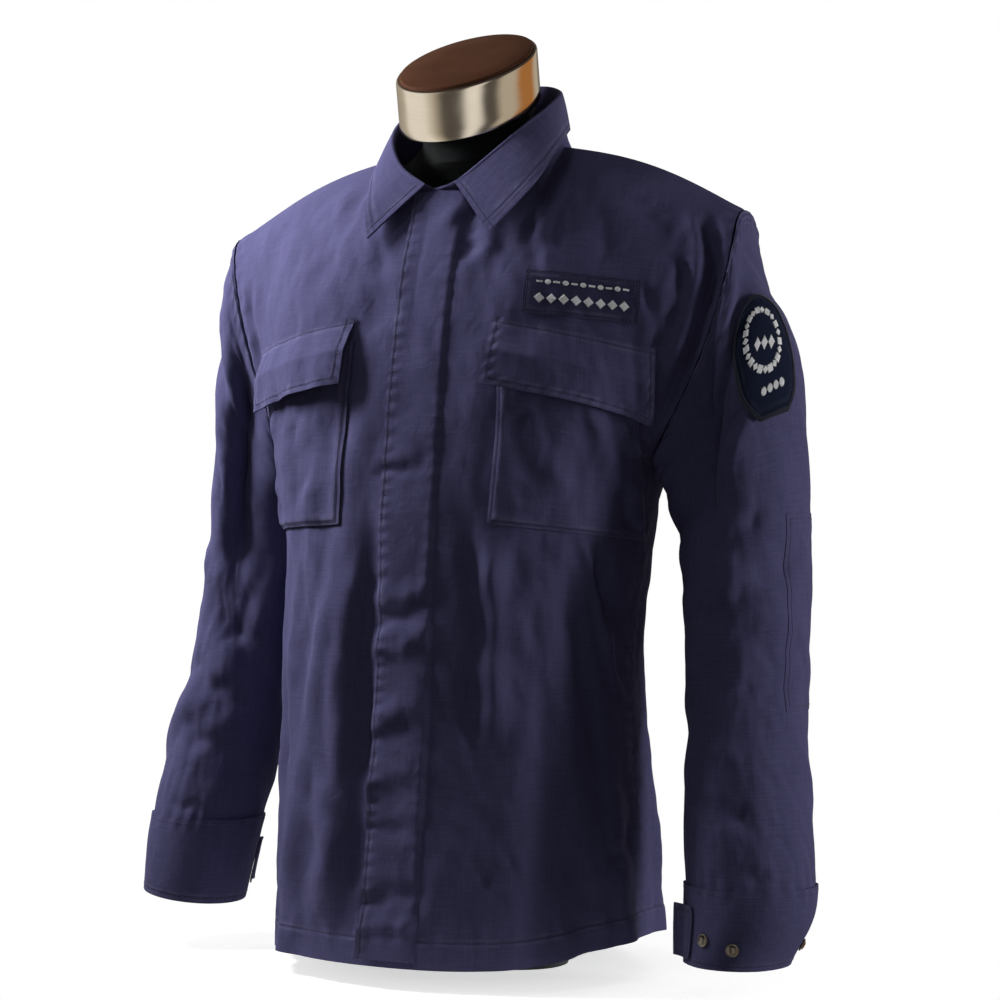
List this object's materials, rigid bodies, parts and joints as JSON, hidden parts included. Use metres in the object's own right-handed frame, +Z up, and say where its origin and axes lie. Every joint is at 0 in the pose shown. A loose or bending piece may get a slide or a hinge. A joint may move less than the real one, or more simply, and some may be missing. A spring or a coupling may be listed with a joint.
{
  "type": "tactical uniform shirt on a limbless dress form",
  "caption": "Long-sleeved navy field shirt with covered fly, bellows chest pockets and flaps, worn by a limbless dress form with a metal neck cap.",
  "frame": {"origin": "centre of the dress form's flat base", "axes": "+Z up along the form; -Y the way the shirt's front faces; +X the wearer's left"},
  "size_m": [0.7205, 0.3339, 0.9136],
  "materials": {
    "navy_cotton": "washed plain-weave cotton",
    "tape_twill": "embroidered twill",
    "patch_twill": "embroidered twill",
    "black_jersey": "stretched jersey",
    "satin_metal": "satin nickel",
    "brown_disc": "satin brown",
    "dark_metal": "darkened metal"
  },
  "bodies": {
    "root": {"front_right": "navy_cotton", "front_left": "navy_cotton", "back": "navy_cotton", "sleeve_right": "navy_cotton", "sleeve_left": "navy_cotton", "cuff_right": "navy_cotton", "cuff_left": "navy_cotton", "cuff_tab_right": "navy_cotton", "cuff_tab_left": "navy_cotton", "elbow_right": "navy_cotton", "elbow_left": "navy_cotton", "pocket_right": "navy_cotton", "pocket_left": "navy_cotton", "flap_right": "navy_cotton", "flap_left": "navy_cotton", "fly_strip": "navy_cotton", "collar": "navy_cotton", "name_tape": "tape_twill", "shoulder_patch": "patch_twill", "dress_form": "black_jersey", "neck_cap": "satin_metal", "cap_disc": "brown_disc", "cuff_button_right_1": "dark_metal", "cuff_button_right_2": "dark_metal", "cuff_button_right_3": "dark_metal", "cuff_button_left_1": "dark_metal", "cuff_button_left_2": "dark_metal", "cuff_button_left_3": "dark_metal"}
  },
  "joints": []
}
